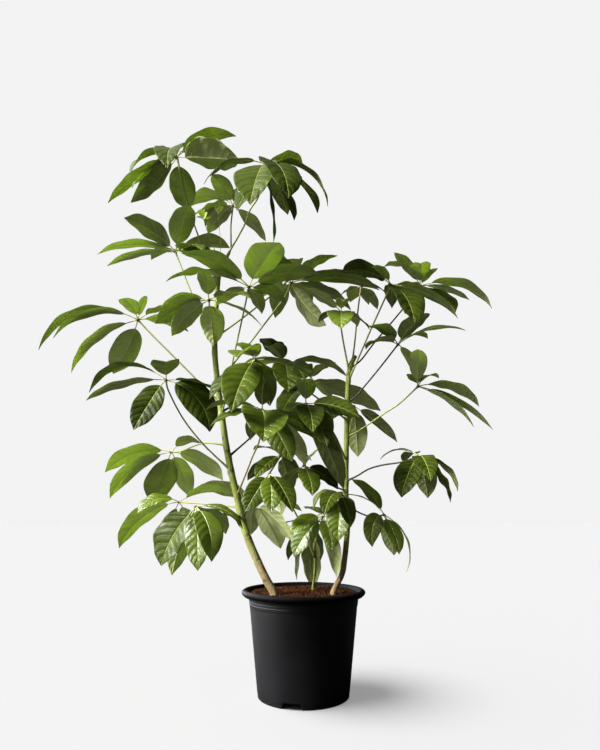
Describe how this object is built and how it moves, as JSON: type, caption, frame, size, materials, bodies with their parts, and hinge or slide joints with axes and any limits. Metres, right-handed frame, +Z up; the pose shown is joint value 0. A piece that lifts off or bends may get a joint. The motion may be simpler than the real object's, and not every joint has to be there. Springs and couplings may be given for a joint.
{
  "type": "potted umbrella plant",
  "caption": "House plant with palmate compound leaves on slim trunks, standing in soil in a black nursery pot that rests on its flat foot.",
  "frame": {"origin": "centre of the flat underside of the pot, on the surface that it stands on", "axes": "+Z up along the pot's axis, +X to the viewer's right, +Y away from the viewer"},
  "size_m": [0.9935, 0.6248, 1.2638],
  "materials": {
    "black_plastic": "moulded black plastic, satin sheen with faint dust and scuffs",
    "potting_soil": "rough reddish-brown potting soil with fibres and crumbs",
    "bark": "tan woody bark below that turns smooth light green above, with leaf scars",
    "green_bark": "smooth young green bark with a brown cut tip",
    "leaf": "glossy dark green upper side, paler matte underside, raised pale midrib",
    "sprout": "soft yellow-green young leaf"
  },
  "bodies": {
    "root": {"pot": "black_plastic", "soil": "potting_soil", "left_trunk": "bark", "right_trunk": "bark", "young_shoot": "green_bark", "left_leaf_01": "leaf", "left_leaf_02": "leaf", "left_leaf_03": "leaf", "left_leaf_04": "leaf", "left_leaf_05": "leaf", "left_leaf_06": "leaf", "left_leaf_07": "leaf", "left_leaf_08": "leaf", "left_leaf_09": "leaf", "left_leaf_10": "leaf", "left_leaf_11": "leaf", "left_leaf_12": "leaf", "left_leaf_13": "leaf", "left_leaf_14": "leaf", "left_leaf_15": "leaf", "left_leaf_16": "leaf", "left_leaf_17": "leaf", "left_leaf_18": "leaf", "right_leaf_01": "leaf", "right_leaf_02": "leaf", "right_leaf_03": "leaf", "right_leaf_04": "leaf", "right_leaf_05": "leaf", "right_leaf_06": "leaf", "right_leaf_07": "leaf", "right_leaf_08": "leaf", "right_leaf_09": "leaf", "right_leaf_10": "leaf", "right_leaf_11": "leaf", "right_leaf_12": "leaf", "right_leaf_13": "leaf", "right_leaf_14": "leaf", "shoot_leaf_01": "leaf", "shoot_leaf_02": "leaf", "left_sprout_01": "sprout", "left_sprout_02": "sprout"}
  },
  "joints": []
}
